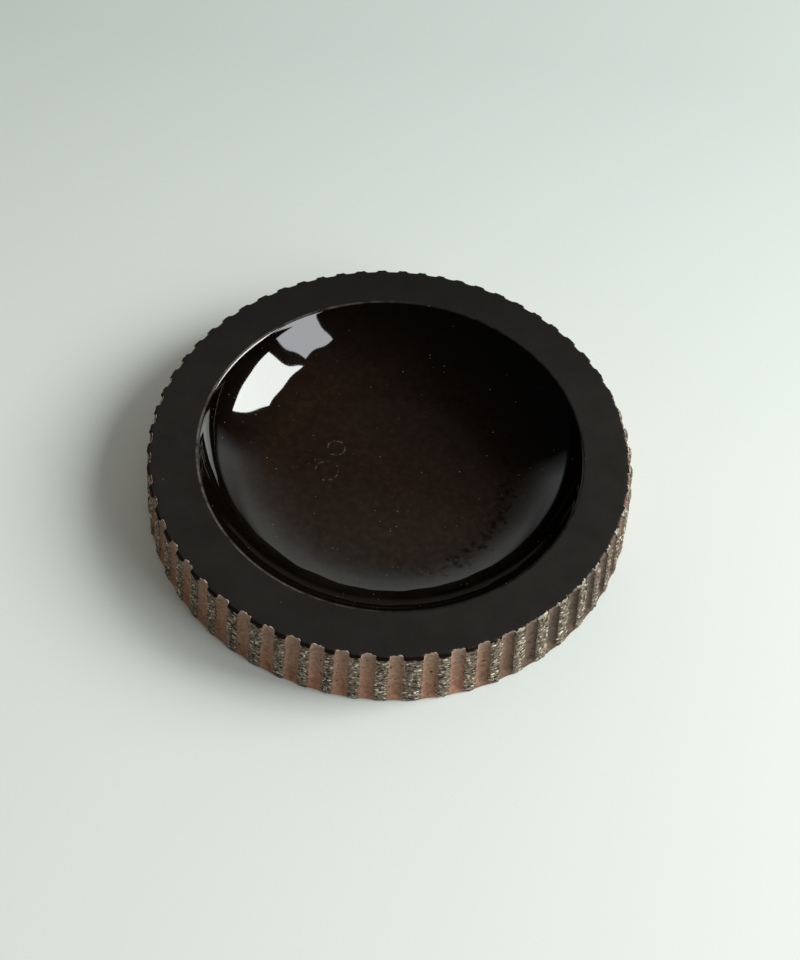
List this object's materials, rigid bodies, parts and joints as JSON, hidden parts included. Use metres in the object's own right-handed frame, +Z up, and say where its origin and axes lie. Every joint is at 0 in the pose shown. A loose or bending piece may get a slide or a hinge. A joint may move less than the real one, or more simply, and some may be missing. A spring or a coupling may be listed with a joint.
{
  "type": "ceramic tray",
  "caption": "Round stoneware dish tray with a wide flat satin rim, a shallow gloss-glazed well and a wall of hand-cut upright flutes between gritty lands; stands on a flat foot ring",
  "frame": {"origin": "middle of the foot ring's standing face, on the table", "axes": "+Z up out of the well; +X to the right and -Y toward the camera as in the picture; the dish has no real front"},
  "size_m": [0.2056, 0.2056, 0.0296],
  "materials": {
    "clay": "smooth bare fired clay, matte",
    "slip": "rough gritty slip, matte",
    "satin_glaze": "satin glaze",
    "gloss_glaze": "gloss glaze"
  },
  "bodies": {
    "root": {"stoneware_body": "clay", "land_slip": "slip", "rim_glaze": "satin_glaze", "well_glaze": "gloss_glaze"}
  },
  "joints": []
}
